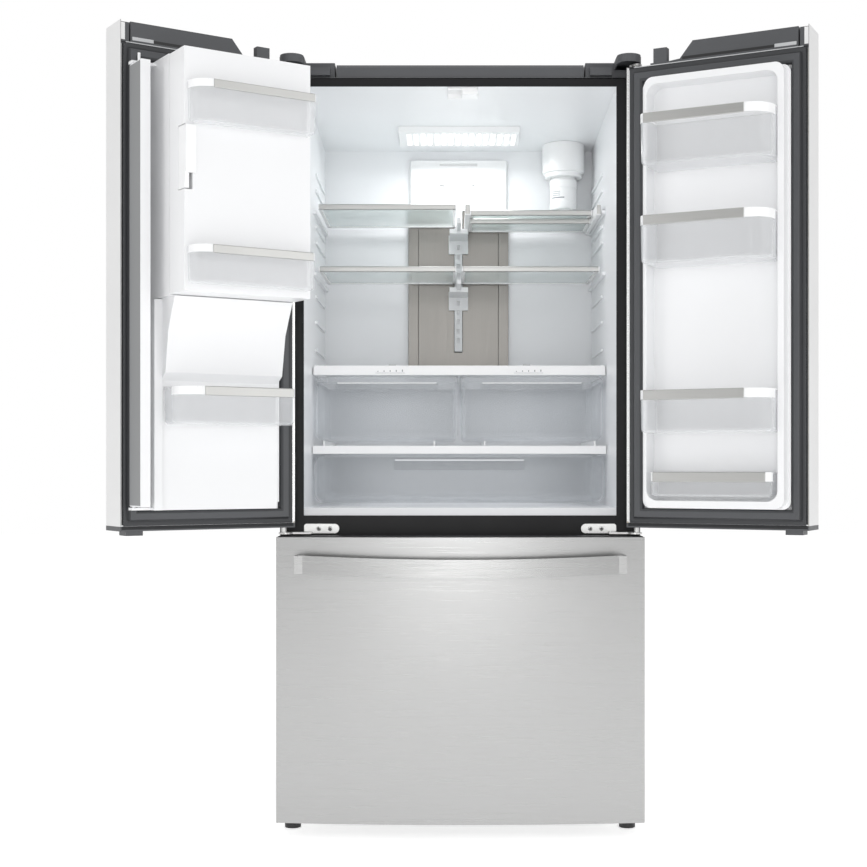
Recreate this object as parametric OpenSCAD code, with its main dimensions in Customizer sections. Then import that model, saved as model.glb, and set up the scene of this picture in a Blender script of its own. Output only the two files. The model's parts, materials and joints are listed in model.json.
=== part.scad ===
// French door refrigerator with a bottom freezer drawer.
// Frame: X to the right, Y to the rear with the cabinet's front face at Y = 0, Z up from the floor.
// Millimetres. Drawn with both fridge doors open, all drawers shut and the right upper shelf half tucked in.

/* [Cabinet] */
// Width of the cabinet and of the freezer drawer front
body_w = 832; // [824:1:840]
// Depth of the cabinet without its doors
case_d = 750; // [740:1:770]
// Height of the top of the steel case above the floor
case_top = 1740; // [1736:1:1744]
// Thickness of the sheet metal wrapper
sheet = 2; // [1.5:0.5:2.5]

/* [Doors] */
// Angle the left door stands open, from shut
open_left = 147; // [100:1:152]
// Angle the right door stands open, from shut
open_right = 153; // [100:1:154]
// How far the middle of the front bulges out from its side edges
bulge = 22; // [16:1:26]
// Thickness of the door's steel skin
skin = 1.5; // [1:0.5:2]

/* [Handles] */
// Height of the flat bar of each handle
bar_h = 41; // [36:1:44]
// Stand-off of the freezer handle's bar from the drawer front
standoff = 44; // [40:1:50]

/* [Interior] */
// Inside height where the fridge floor lies
floor_z = 745; // [743:1:746]
// Glass thickness of the shelves
glass_t = 4; // [4:0.5:5]
// How far the right upper shelf's front half is tucked back
tuck = 100; // [80:5:100]

/* [Hidden] */
$fn = 48;
W2 = body_w/2;
cav = W2 - 55;            // half width of the food compartments
pvx = W2 - 14;            // hinge axis of each door
pvy = -44;
front_y = -102;           // foremost line of the bowed front
arc_r = (W2*W2 + bulge*bulge)/(2*bulge);
rail_z0 = 678; rail_z1 = 728;
ceil_z0 = 1719; ceil_slope = 24/597;
function ceil_z(y) = ceil_z0 - (y - 3)*ceil_slope;
function arc_y(x) = front_y + arc_r - sqrt(arc_r*arc_r - x*x);
back_y = 600;             // rear wall of the fridge compartment
door_z0 = 703; door_z1 = 1749; lip_z = 1790;
drw_z0 = 37; drw_z1 = 682;
ice_z0 = 1198; ice_z1 = 1702;

module bx(x0,x1,y0,y1,z0,z1) translate([x0,y0,z0]) cube([x1-x0,y1-y0,z1-z0]);
module zx(z0,z1) translate([0,0,z0]) linear_extrude(z1-z0) children();
module yx(y0,y1) translate([0,y1,0]) rotate([90,0,0]) linear_extrude(y1-y0) children();
module xx(x0,x1) translate([x0,0,0]) rotate([90,0,90]) linear_extrude(x1-x0) children();
module rr(x0,x1,y0,y1,r) union() {
  translate([x0+r,y0]) square([x1-x0-2*r, y1-y0]);
  translate([x0,y0+r]) square([x1-x0, y1-y0-2*r]);
  for (x=[x0+r,x1-r], y=[y0+r,y1-r]) translate([x,y]) circle(r);
}
// both sides of the cabinet
module both() { children(); mirror([1,0,0]) children(); }
module cyl(x,y,z0,z1,r) translate([x,y,z0]) cylinder(r=r, h=z1-z0);
// a door part, drawn shut on the right half, swung to where the door stands
module on_right() translate([pvx,pvy,0]) rotate([0,0,open_right]) translate([-pvx,-pvy,0]) children();
module on_left() mirror([1,0,0]) translate([pvx,pvy,0]) rotate([0,0,open_left]) translate([-pvx,-pvy,0]) children();

// ---------- cabinet ----------
module cabinet_shell() color("dimgray") difference() {
  bx(-W2,W2, 0,case_d, 60,case_top);
  bx(-W2+sheet,W2-sheet, -1,case_d-sheet, 60+sheet,case_top-sheet);
  bx(-396,396, case_d-sheet-1,case_d+1, 66,326);
}
module front_frame() color("black") difference() {
  bx(-W2+sheet,W2-sheet, 0,3, 60+sheet,case_top-sheet);
  bx(-cav,cav, -1,4, rail_z1,ceil_z0);
  bx(-cav,cav, -1,4, 90,rail_z0-4);
}
module fridge_out() xx(-cav-2,cav+2)
  polygon([[3,726],[5,726],[5,743-0],[back_y+2,743],[back_y+2,ceil_z(back_y+2)+2],[3,ceil_z0+2]]);
module fridge_in() xx(-cav,cav)
  polygon([[2,floor_z],[back_y,floor_z],[back_y,ceil_z(back_y)],[2,ceil_z(2)]]);
module wall_ribs() for (z=[1090,1130,1200,1264,1400,1440,1530,1570])
  both() bx(cav-5,cav, 300,560, z,z+7);
module shelf_ledges() both() {
  for (z=[1322,1474]) bx(cav-8,cav, 240,598, z-8,z);
}
module fridge_liner() color("whitesmoke") union() {
  difference() { fridge_out(); fridge_in(); translate([0,0,0]) bx(-cav,cav,2,2.9,700,floor_z);
    cyl(-20,300,ceil_z(300)-20,ceil_z(300)+20,1.2); }
  wall_ribs(); shelf_ledges();
}
module freezer_out() xx(-cav-2,cav+2)
  polygon([[3,88],[542,88],[542,343],[642,343],[642,674],[3,674]]);
module freezer_in() xx(-cav,cav)
  polygon([[2,90],[540,90],[540,345],[640,345],[640,672],[2,672]]);
module freezer_liner() color("whitesmoke") {
  difference() { freezer_out(); freezer_in(); }
  evaporator_panel();
}
module foam_insulation() color("khaki") difference() {
  bx(-W2+sheet,W2-sheet, 3,case_d-sheet, 60+sheet,case_top-sheet);
  fridge_out(); freezer_out();
  fridge_in(); freezer_in();
  bx(-cav-2,cav+2, 2,5.01, 726,745);
  bx(-410,410, 575,case_d, 50,332);
}
module top_cover() color("darkslategray") difference() {
  union() {
    xx(-286,286) polygon([[4,case_top],[110,case_top],[110,case_top+20],[92,case_top+31],[12,case_top+31],[4,case_top+24]]);
    // hinge covers and their noses over the hinge pins
    both() {
      bx(290,W2-4, 8,112, case_top,1775);
      bx(356,W2-4, -44,9, 1759,1775);
      cyl(384,-44,1759,1777,27);
      bx(300,350, -6,8, 1744,1762);
    }
  }
  bx(-282,282, 8,106, case_top-1,case_top+16);
  both() {
    bx(293,W2-7, 11,109, case_top-1,1772);
    bx(359,W2-7, -44,12, 1758.9,1772);
    cyl(384,-44,1758.9,1773,24);
    bx(384,W2-5, -50,12, 1750,1759);
  }
}
module machine_cover() color("gray") difference() {
  union() {
    bx(-395,395, case_d-2,case_d, 67,325);
    cyl_y(330,110,case_d-14,case_d,9);
    cyl_y(-350,296,case_d-14,case_d,8);
  }
  cyl_y(-350,296,case_d-15,case_d+1,3.3);
  for (k=[0:8]) bx(-340+k*40,-322+k*40, case_d-3,case_d+1, 120,270);
  for (k=[0:3]) bx(120+k*40,138+k*40, case_d-3,case_d+1, 140,250);
  cyl_y(330,110,case_d-15,case_d+1,4);
  for (x=[-385,385], z=[80,312]) cyl_y(x,z,case_d-3,case_d+1,2.2);
}
module cyl_y(x,z,y0,y1,r) translate([x,y1,z]) rotate([90,0,0]) cylinder(r=r, h=y1-y0);
module cyl_x(y,z,x0,x1,r) translate([x0,y,z]) rotate([0,90,0]) cylinder(r=r, h=x1-x0);
module hinge_brackets() color("silver") both() {
  // upper: foot plate on the case, riser and arm with the pin
  difference() {
    union() {
      bx(340,W2-10, 14,104, case_top,case_top+4);
      bx(386,W2-8, 14,18, case_top,1757);
      bx(386,W2-8, -44,18, 1752,1757);
      cyl(pvx,pvy,1752,1757,12);
    }
    for (y=[40,60,80]) cyl(356,y,case_top-1,case_top+5,3);
  }
  cyl(pvx,pvy,1722,1752,6);
  // middle: plate on the cross rail, arm with the pin up into the door
  difference() {
    union() {
      yx(-4,0) union() { rr(290,360,687,709,6); translate([290,698]) circle(11); }
      bx(340,W2-10, -44,0, 687,691);
      cyl(pvx-4,pvy,687,691,16);
    }
    for (x=[300,326]) cyl_y(x,698,-5,1,2.6);
  }
  cyl(pvx,pvy,691,726,6);
}
module base_frame() color("dimgray") difference() {
  union() {
    both() {
      bx(352,412, 16,740, 44,60);
      for (x=[363,393]) bx(x,x+4, 674,706, 12,44);
      cyl_x(690,20,363,397,4);
    }
    bx(-352,352, 16,46, 44,60);
    bx(-352,352, 700,740, 44,60);
  }
  both() cyl(390,40,40,60.01,6.1);
}
module levelling_feet() color("black") both() {
  cyl(390,40,0,12,19);
  cyl(390,40,12,20,12);
  cyl(390,40,20,58,6);
}
module rear_rollers() color("black") both() difference() {
  union() { cyl_x(690,20,369,391,20); cyl_x(690,20,367.4,392.6,9); }
  cyl_x(690,20,360,400,4.05);
}
module compressor() color("black") union() {
  translate([-250,650,62]) scale([1,1,1]) {
    for (x=[-70,70], y=[-48,48]) translate([x,y,0]) cylinder(r=11,h=20);
    translate([0,0,20]) linear_extrude(4) rr(-90,90,-60,60,12);
    translate([0,0,24]) cylinder(r=68,h=110);
    translate([0,0,134]) intersection() { translate([0,0,-52]) sphere(r=86); cylinder(r=67,h=40); }
  }
  cyl(-160,650,86,200,5);
  bx(-176,-160,630,670,100,140);
}
module fan_shroud() color("gray") union() {
  difference() { bx(-40,-30, 580,730, 62,250); cyl_x(655,155,-41,-29,64); }
  bx(-40,-30, 650,660, 85,225);
  bx(-40,-30, 585,725, 150,160);
  difference() { cyl_x(655,155,-30,-6,76); cyl_x(655,155,-31,-5,70); }
  bx(-60,-40, 640,670, 140,170);
}
module condenser_fan() color("black") union() {
  cyl_x(655,155,-29.5,-10,16);
  for (a=[0:60:300]) translate([-19,655,155]) rotate([a,0,0]) rotate([0,0,35])
    translate([-8,-1.2,12]) cube([16,2.4,52]);
}
module evaporator_panel() difference() {
  bx(-cav,cav, 548,552, 345,672);
  for (k=[0:7]) bx(-300+k*80,-250+k*80, 547,553, 380,392);
  for (k=[0:7]) bx(-300+k*80,-250+k*80, 547,553, 600,612);
}
module evaporator_coil() color("silver") union() {
  for (k=[0:12]) bx(-302+k*50,-300+k*50, 570,630, 400,580);
  for (z=[430,490,550], y=[585,615]) cyl_x(y,z,-320,320,4);
}
module air_duct_cover() color("whitesmoke") difference() {
  zx(1532,1667) union() { polygon([[-135,600],[-128,584],[128,584],[135,600]]); }
  bx(-50,50, 583,590, 1653,1659);
  both() bx(37,51, 583,592, 1594,1602);
}
module cooling_panel() color("tan") difference() {
  union() { bx(-108,108, 590,600, 1094,1532); both() bx(108,135, 588,600, 1094,1532); }
  bx(-11,11, 587,594, 1150,1532.1);
}
module shelf_track() color("silver") difference() {
  union() {
    bx(-10.5,10.5, 576,594, 1151,1532);
    // shelf arms
    for (z=[1322,1474]) { bx(-24,24, 440,576, z-26,z-14); bx(-5,5, 300,440, z-22,z-12); }
    for (z=[1322,1474]) bx(-26,26, 576,588, z-60,z-10);
  }
  for (z=[1175:25:1525]) bx(-4,4, 575,582, z,z+12);
}
module ceiling_lamp_lens() color("white") difference() {
  translate([0,0,-0.02]) xx(-155,155) polygon([[343,ceil_z(343)],[508,ceil_z(508)],[496,ceil_z(496)-13],[356,ceil_z(356)-13]]);
  for (k=[0:14]) bx(-126+k*18,-120+k*18, 372,480, 1640,ceil_z(430)-11.5);
}
module mullion_guide() color("whitesmoke") difference() {
  xx(-29,41) polygon([[5,1702],[55,1702],[55,ceil_z(55)-0.02],[5,ceil_z(5)-0.02]]);
  bx(-30,4, 4,43, 1701,1713);
}
module filter_head() color("whitesmoke") difference() {
  union() {
    difference() { cyl(280,541,1622,1710,56); xx(200,350) polygon([[400,ceil_z(400)-0.02],[620,ceil_z(620)-0.02],[620,1800],[400,1800]]); }
    cyl(280,541,1610,1622,50);
  }
  cyl(280,541,1600,1640,32.4);
}
module water_filter() color("white") union() {
  cyl(280,541,1524,1606,36.5);
  cyl(280,541,1606,1638,32);
  difference() { cyl(280,541,1516,1524,30); for (a=[0:45:135]) translate([280,541,1512]) rotate([0,0,a]) translate([-40,-2,0]) cube([80,4,8]); }
}
// shelf: a glass plate in a frame, x0 to x1, front edge at y0, top of glass at z
module shelf(x0,x1,y0,z) union() {
  difference() { bx(x0,x1, y0,575, z-glass_t-2,z); bx(x0+9,x1-9, y0+8,567, z-glass_t-3,z+1); }
  bx(x0+9,x1-9, y0+8,567, z-glass_t,z);
  bx(x0,x1, y0-8,y0, z-9,z+5);
}
module glass_shelves() color("lightcyan") union() {
  shelf(-352,-7,300,1338);
  shelf(7,352,300,1338);
  shelf(-352,-7,278,1490);
  // rear half of the right upper shelf and the side rails its front half runs in
  shelf(27,341,420,1478);
  bx(15,27, 258,575, 1466,1492);
  bx(341,352, 258,575, 1466,1492);
}
module tuck_shelf_front() color("lightcyan") union() {
  y0 = 270+tuck;
  difference() { bx(28,340, y0,y0+200, 1484,1492); bx(36,332, y0+8,y0+192, 1483,1493); }
  bx(36,332, y0+8,y0+192, 1486,1490);
  bx(28,340, y0-8,y0, 1482,1496);
}
module crisper_cover() color("white") difference() {
  union() {
    bx(-358,358, 218,228, 1066,1089);
    bx(-358,358, 228,588, 1083,1089);
    both() bx(354.5,360, 228,588, 1066,1083);
    bx(-2.5,2.5, 228,588, 1066,1083);
  }
  // glass seat and the two vent slots the sliders cover
  both() bx(134,206, 219.5,226.5, 1086,1090);
}
module humidity_slider(s) color("white") translate([s*165,0,0]) bx(-9,9, 220,226, 1086.5,1093);
module humidity_slider_left() humidity_slider(-1);
module humidity_slider_right() humidity_slider(1);
module crisper(x0,x1) color("lightsteelblue") difference() {
  union() {
    difference() {
      yx(236,580) rr(x0+3,x1-3,906,1058,10);
      yx(239,577) rr(x0+6,x1-6,909,1049.5,8);
      bx(x0+6,x1-6, 239,577, 1040,1070);
    }
    bx(x0,x1, 226,236, 912,1062);
    bx(x0,x0+3.01, 226,580, 1042,1050);
    bx(x1-3.01,x1, 226,580, 1042,1050);
  }
  bx(x0+60,x1-60, 225,230, 1030,1046);
}
module crisper_left() crisper(-353,-4);
module crisper_right() crisper(4,353);
module pantry_cover() color("white") union() {
  bx(-359,359, 200,212, 872,892);
  bx(-359,359, 212,588, 884,892);
  both() bx(357,360.5, 212,588, 872,884);
  both() bx(60,64, 212,588, 892,904);
  both() bx(330,334, 212,588, 892,904);
}
module pantry_drawer() color("lightsteelblue") union() {
  difference() {
    yx(214,580) rr(-352,352,754,866,24);
    yx(217,577) rr(-349,349,757,863,21);
    bx(-349,349, 217,577, 850,880);
  }
  difference() { yx(206,214) rr(-356,356,752,869,24); bx(-150,150,205,210,836,856); }
}
module freezer_rails() color("silver") both() {
  bx(cav-12,cav, 30,520, 128,150);
  bx(cav-12,cav, 30,530, 454,472);
}

// ---------- fridge doors, drawn shut on the right half ----------
module front_disc(i) translate([0, front_y + arc_r]) circle(r=arc_r - i, $fn=1080);
module door2d(i, y1) intersection() {
  front_disc(i);
  translate([2+i,-140]) square([W2-2-2*i, y1+140]);
}
// outline of the whole steel skin seen from the front
module skin_outline(z0) polygon([[0,z0],[W2+1,z0],[W2+1,1746],[330,1746],[288,lip_z],[0,lip_z]]);
module door_skin_body(z0) intersection() {
  difference() { zx(z0,lip_z) door2d(0,-16); zx(z0-1,lip_z+1) door2d(skin,-15); }
  yx(-140,-10) skin_outline(z0);
}
module door_caps_body() union() {
  // bottom cap closes the skin and holds the hinge bush
  difference() {
    zx(door_z0,door_z0+10) door2d(0,-16);
    cyl(pvx,pvy,door_z0-1,door_z0+11,6.05);
  }
  // top cap, level with the inner frame, with a bore for the hinge pin
  difference() {
    zx(1739,1744) door2d(skin,-17);
    cyl(pvx,pvy,1738,1750,6.05);
  }
  intersection() {
    zx(1744,1789) door2d(skin+0.5,-20);
    yx(-140,-10) polygon([[26,1743],[330,1743],[322,1749],[292,1752],[262,1789],[26,1789]]);
  }
  // inner frame band above the gasket, step at the free edge
  bx(4,22, -60,-18, 1744,1786);
  bx(22,26, -60,-30, 1744,1784);
  bx(26,360, -21,-18, 1744,1749);
  bx(322,353, -36,-18, 1744,1781);
  // stop on the underside
  bx(16,54, -60,-20, 693,door_z0);
}
module door_core_body() difference() {
  zx(door_z0+10,1739) door2d(skin,-18);
  cyl(pvx,pvy,door_z0,730,6.05);
  cyl(pvx,pvy,1718,1745,6.05);
}
// rounded tub face of the right liner: raised frame with a recess for the bins
module right_liner_body() difference() {
  union() {
    zx(door_z0+10,1739) translate([4,-18]) square([W2-8,2]);
    yx(-16,-1) rr(38,372,748,1706,18);
    yx(-1,34) rr(44,357,750,1704,20);
  }
  yx(-15.99,35) rr(58,351,766,1688,24);
  cyl(pvx,pvy,door_z0,1750,8);
}
module gasket_body() difference() {
  yx(-16,-1.5) rr(8,408,714,1741,6);
  yx(-17,0) rr(37.5,372.5,747.5,1706.5,18);
  cyl(pvx,pvy,door_z0,1750,8);
}
// flat bar handle standing upright near the free edge
module upright_handle_body() union() {
  bar_r = 9000;
  intersection() {
    xx(62,103) difference() {
      translate([-154+bar_r,1228]) circle(r=bar_r, $fn=1440);
      translate([-146+bar_r,1228]) circle(r=bar_r, $fn=1440);
    }
    bx(60,106, -160,-120, 850,1606);
  }
  for (z=[[842,868],[1588,1614]])
    difference() { bx(60,105, -151,-98, z[0],z[1]); bx(66,99, -128,-97, z[0]+5,z[1]-5);
      zx(z[0]-1,z[1]+1) front_disc(0); }
}
// a clear tray with rounded front corners, x0..x1, from y0 to y1 (towards the food space)
module tray2d(x0,x1,y0,y1,r0,r1) intersection() {
  translate([x0,y0]) square([x1-x0, y1-y0]);
  union() {
    translate([x0,y0]) square([x1-x0, y1-y0-r0]);
    translate([x0+r0,y0]) square([x1-x0-r0, y1-y0-r1]);
    translate([x0+r0,y0]) square([x1-x0-r0-r1, y1-y0]);
    translate([x0+r0,y1-r0]) circle(r0);
    translate([x1-r1,y1-r1]) circle(r1);
  }
}
module door_tray(x0,x1,y0,y1,z0,z1,r0,r1) union() {
  difference() {
    zx(z0,z1) tray2d(x0,x1,y0,y1,r0,r1);
    zx(z0+3,z1+1) tray2d(x0+2.5,x1-2.5,y0+2.5,y1-2.5,r0-2.5,r1-2.5);
  }
  // steel trim bar along the front
  bx(x0+r0,x1-r1, y1,y1+2, z1-22,z1);
}
module right_door_skin() color("silver") on_right() door_skin_body(door_z0+10);
module right_door_caps() color("darkslategray") on_right() door_caps_body();
module right_door_core() color("khaki") on_right() door_core_body();
module right_door_liner() color("white") on_right() right_liner_body();
module right_door_gasket() color("darkslategray") on_right() gasket_body();
module right_door_handle() color("silver") on_right() upright_handle_body();
module right_door_bins() color("lightsteelblue") on_right() union() {
  for (z=[[1498,1609],[1283,1387],[914,1007]]) door_tray(59,346, -15,103, z[0],z[1], 56,20);
  door_tray(68,341, -15,45, 775,829, 14,14);
}

// left door: the same shell with an ice compartment inside and a dispenser in its front
module disp_cut() { bx(118,302, -130,8, 948,1194); bx(118,302, -130,-20, 1193,1342); }
module left_door_skin() color("silver") on_left() difference() {
  door_skin_body(door_z0+10);
  bx(118,302, -130,-70, 948,1342);
}
module left_door_caps() color("darkslategray") on_left() door_caps_body();
module left_liner_solid() union() {
  xx(78,352) polygon([[-16,748],[22,748],[22,1024],[46,1040],[62,1128],[96,ice_z0],[-16,ice_z0]]);
}
module left_liner_skin() difference() {
  left_liner_solid();
  xx(80.5,349.5) polygon([[-17,750.5],[19.5,750.5],[19.5,1025.5],[44,1041.5],[59.8,1128],[92.7,1196],[-17,1196]]);
}
module left_door_liner() color("white") on_left() difference() {
  union() {
    difference() {
      zx(door_z0+10,1739) translate([4,-18]) square([W2-8,2]);
      bx(80.5,349.5, -19,-15, 750.5,1196);
      bx(68,357, -19,-15, ice_z0,ice_z1);
    }
    left_liner_skin();
    // dyke beside the ice compartment and lower tray rails
    difference() { bx(60,78, -16,30, 748,1196); bx(62.5,80, -17,27.5, 750.5,1193.5); }
    bx(358.5,368, -16,-1, 762,1690);
  }
  cyl(pvx,pvy,door_z0,1750,8);
}
module left_door_core() color("khaki") on_left() difference() {
  union() {
    door_core_body();
    xx(80.5,349.5) polygon([[-18,750.5],[19.5,750.5],[19.5,1025.5],[44,1041.5],[59.8,1128],[92.7,1196],[-18,1196]]);
  }
  disp_cut();
  bx(68,357, -19,90, ice_z0-2,ice_z1);
  bx(170,250, -60,96, 1190,1240);
}
module left_door_gasket() color("darkslategray") on_left() gasket_body();
module left_door_handle() color("silver") on_left() upright_handle_body();
// flipper mullion, folded back against the door: pivot at fx, fy
fx = 21.5; fy = 11;
module flipper_mullion() color("whitesmoke") on_left() difference() {
  union() {
    bx(17,37.5, 2,64, 756,1690);
    bx(15.5,17, 2,64, 758,1688);
    cyl(25,32,1690,1710,3);
    cyl(fx,fy,749,1696,4);
  }
  bx(24,33, 24,58, 764,1682);
}
// knuckles of the ice door's hinge, and where the other leaf gives way
hx = 356; hy = 90;
module ice_housing() color("white") on_left() difference() {
  union() {
    difference() {
      bx(68,357, -18,88.5, ice_z0,ice_z1);
      for (z=[1299.5,1579.5]) cyl(hx,hy,z,z+21,4.6);
    }
    for (z=[1280,1320.5,1560,1600.5]) cyl(hx,hy,z,z+19.5,4);
    for (z=[1280,1560]) cyl(hx,hy,z,z+60,1.5);
    // brackets that hold the mullion's pivots
    bx(14,60, 0,19, 748.5,754);
    bx(14,69, 0,19, 1691,1696.5);
  }
  cyl(fx,fy,740,1700,4.05);
  bx(88,345, -14,90, ice_z0+8,ice_z1-8);
  bx(180,240, -12,60, ice_z0-1,ice_z0+9);
}
module ice_maker_bin() color("lightgray") on_left() union() {
  // bin with its auger trough
  difference() { bx(92,340, -8,76, 1216,1470); bx(96,336, -4,72, 1221,1471); bx(185,235, -2,50, 1215,1222); }
  cyl_x(34,1252,96.5,335.5,5);
  for (k=[0:8]) cyl_x(34,1252,112+k*26,116+k*26,24);
  // twin-row ice mould above it
  difference() { bx(96,336, 4,66, 1540,1580); for (k=[0:6], y=[10,38]) bx(102+k*33,130+k*33, y,y+24, 1548,1581); }
  bx(92,96, -6,66, 1530,1640);
}
module ice_door() color("white") on_left() difference() {
  union() {
    difference() {
      bx(68,357, 91,170, ice_z0+2,ice_z1-2);
      for (z=[1279.5,1320,1559.5,1600]) cyl(hx,hy,z,z+20.5,4.6);
    }
    for (z=[1300,1580]) cyl(hx,hy,z,z+20,4);
  }
  bx(92,348, 90,164, ice_z0+10,ice_z1-10);
  // seat of the latch
  bx(67,86, 138,171, 1408,1541);
  for (z=[1299,1579]) cyl(hx,hy,z,z+22,1.6);
}
module ice_door_latch() color("white") on_left() union() {
  bx(68,78, 139,172, 1410,1539);
  bx(68,91, 170.5,179, 1441,1539);
}
module ice_door_bins() color("lightsteelblue") on_left() union() {
  door_tray(75,353, 170,214, 1543,1629, 42,14);
  door_tray(75,353, 170,214, 1214,1293, 40,20);
}
module left_door_bin() color("lightsteelblue") on_left() door_tray(84,352, 22,120, 930,1010, 56,16);
module dispenser() color("darkgray") on_left() difference() {
  union() {
    bx(118,302, -104,8, 948,1194);
    bx(118,302, -104,-20, 1194,1342);
  }
  // recess for the glass, and the hollow behind the panel
  difference() {
    bx(128,292, -110,0, 972,1180);
    for (x=[174,239]) bx(x,x+7, -40,-22, 1162,1181);
    bx(128,292, -98,1, 971,974);
  }
  cyl_x(-31,1170,170,250,4.05);
  bx(126,294, -90,-24, 1196,1330);
  bx(180,240, -60,-40, 1170,1200);
  for (k=[0:9]) bx(134+k*16,142+k*16, -96,-8, 972,975);
  // front follows the bowed skin
  difference() { bx(100,320, -140,-60, 900,1400); zx(899,1401) front_disc(-1); }
}
module dispenser_paddle() color("black") on_left() union() {
  bx(190,230, -34,-28, 1060,1172);
  cyl_x(-31,1170,175,245,4);
}

// ---------- freezer drawer ----------
module fz2d(i, y1) intersection() {
  front_disc(i);
  translate([-W2+i,-140]) square([2*W2-2*i, y1+140]);
}
module freezer_front() color("silver") difference() {
  zx(drw_z0,drw_z1) fz2d(0,-16);
  zx(drw_z0+skin,drw_z1-skin) fz2d(skin,-15);
}
module freezer_front_liner() color("white") difference() {
  union() {
    zx(drw_z0+skin,drw_z1-skin) fz2d(skin,-18);
    bx(-W2+4,W2-4, -18,-16, 50,670);
    yx(-16,26) rr(-350,350,100,662,20);
  }
  yx(0,27) rr(-338,338,112,650,16);
}
module freezer_gasket() color("darkslategray") difference() {
  yx(-16,-1.5) rr(-406,406,60,668,6);
  yx(-17,0) rr(-350.5,350.5,99.5,662.5,20);
}
module freezer_handle() color("silver") union() {
  bow_r = 4700; drop_r = 6900;
  intersection() {
    zx(590,650) difference() {
      translate([0,-156+bow_r]) circle(r=bow_r, $fn=1440);
      translate([0,-148+bow_r]) circle(r=bow_r, $fn=1440);
    }
    yx(-170,-120) intersection() {
      translate([-360,590]) square([720,60]);
      difference() {
        translate([0,594+drop_r]) circle(r=drop_r, $fn=1440);
        translate([0,594+bar_h+drop_r]) circle(r=drop_r, $fn=1440);
      }
    }
  }
  both() difference() {
    bx(350,369, -144,-78, 603,643);
    bx(354,365, -130,-77, 607,639);
    difference() { bx(340,380,-101,-60,590,650); zx(589,651) front_ring(); }
  }
}
module front_ring() difference() { translate([-500,-200]) square([1000,300]); front_disc(-0.02); }
module freezer_basket() color("whitesmoke") union() {
  // deep basket, arms to the drawer front and the runners for the tray
  difference() { yx(28,500) rr(-334,334,112,400,22); yx(31,497) rr(-331,331,115,397,19); bx(-331,331, 31,497, 380,410);
    for (k=[0:15]) bx(-300+k*38,-290+k*38, 20,32, 180,350); }
  both() {
    bx(334,346.9, 26,480, 128,150);
    bx(338,346.9, 26,534, 456,467);
    bx(340,346.9, 26,34, 150,456);
    bx(340,346.9, 460,480, 150,456);
  }
}
module freezer_tray() color("whitesmoke") union() {
  difference() { bx(-336,336, 60,326, 440,540); bx(-333,333, 63,323, 443,541); }
  both() bx(336,346, 60,326, 467.5,472);
}

cabinet_shell();
front_frame();
foam_insulation();
fridge_liner();
freezer_liner();
top_cover();
machine_cover();
hinge_brackets();
evaporator_coil();
compressor();
fan_shroud();
air_duct_cover();
cooling_panel();
shelf_track();
ceiling_lamp_lens();
mullion_guide();
filter_head();
glass_shelves();
crisper_cover();
pantry_cover();
freezer_rails();
levelling_feet();
base_frame();
rear_rollers();
condenser_fan();
tuck_shelf_front();
water_filter();
crisper_left();
crisper_right();
pantry_drawer();
humidity_slider_left();
humidity_slider_right();
left_door_skin();
left_door_caps();
left_door_core();
left_door_liner();
left_door_gasket();
left_door_handle();
flipper_mullion();
ice_housing();
ice_maker_bin();
ice_door();
ice_door_latch();
ice_door_bins();
left_door_bin();
dispenser();
dispenser_paddle();
right_door_skin();
right_door_caps();
right_door_core();
right_door_liner();
right_door_gasket();
right_door_handle();
right_door_bins();
freezer_front();
freezer_front_liner();
freezer_gasket();
freezer_handle();
freezer_basket();
freezer_tray();
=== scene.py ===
import json
import math

import bpy
import bmesh
from mathutils import Matrix, Vector

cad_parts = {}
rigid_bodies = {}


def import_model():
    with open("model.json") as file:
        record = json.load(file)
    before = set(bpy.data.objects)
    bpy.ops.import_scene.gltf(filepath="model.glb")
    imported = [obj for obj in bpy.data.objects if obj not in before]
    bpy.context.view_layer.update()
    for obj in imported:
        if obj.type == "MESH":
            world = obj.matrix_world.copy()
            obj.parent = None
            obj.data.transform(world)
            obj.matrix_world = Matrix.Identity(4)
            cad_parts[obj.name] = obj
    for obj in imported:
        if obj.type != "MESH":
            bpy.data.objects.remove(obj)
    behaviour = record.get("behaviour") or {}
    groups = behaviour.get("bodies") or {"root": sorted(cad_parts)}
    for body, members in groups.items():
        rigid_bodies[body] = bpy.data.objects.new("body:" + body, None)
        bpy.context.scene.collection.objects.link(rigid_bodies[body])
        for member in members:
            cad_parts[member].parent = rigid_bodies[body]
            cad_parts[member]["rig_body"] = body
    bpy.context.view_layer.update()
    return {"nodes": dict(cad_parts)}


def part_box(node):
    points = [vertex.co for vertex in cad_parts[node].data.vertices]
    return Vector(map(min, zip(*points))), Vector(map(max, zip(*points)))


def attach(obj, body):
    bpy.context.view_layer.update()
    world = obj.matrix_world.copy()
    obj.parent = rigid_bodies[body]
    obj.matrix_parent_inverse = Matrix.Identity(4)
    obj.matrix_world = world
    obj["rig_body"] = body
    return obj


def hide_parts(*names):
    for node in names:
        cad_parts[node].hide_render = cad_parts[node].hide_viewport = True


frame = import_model()
N = frame["nodes"]

# ------------------------------------------------------------------ frames
MM = Matrix.Scale(0.001, 4)
PVX, PVY = 402.0, -44.0
AL, AR = math.radians(147), math.radians(153)


def _turn(a):
    return (Matrix.Translation((PVX, PVY, 0)) @ Matrix.Rotation(a, 4, "Z")
            @ Matrix.Translation((-PVX, -PVY, 0)))


RIGHT = MM @ _turn(AR)
LEFT = MM @ Matrix.Diagonal((-1, 1, 1, 1)) @ _turn(AL)
CAB = MM

# ------------------------------------------------------------------ materials
MATS = {}


def _new(name):
    m = bpy.data.materials.new(name)
    m.use_nodes = True
    nt = m.node_tree
    b = nt.nodes["Principled BSDF"]
    return m, nt, b


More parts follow.
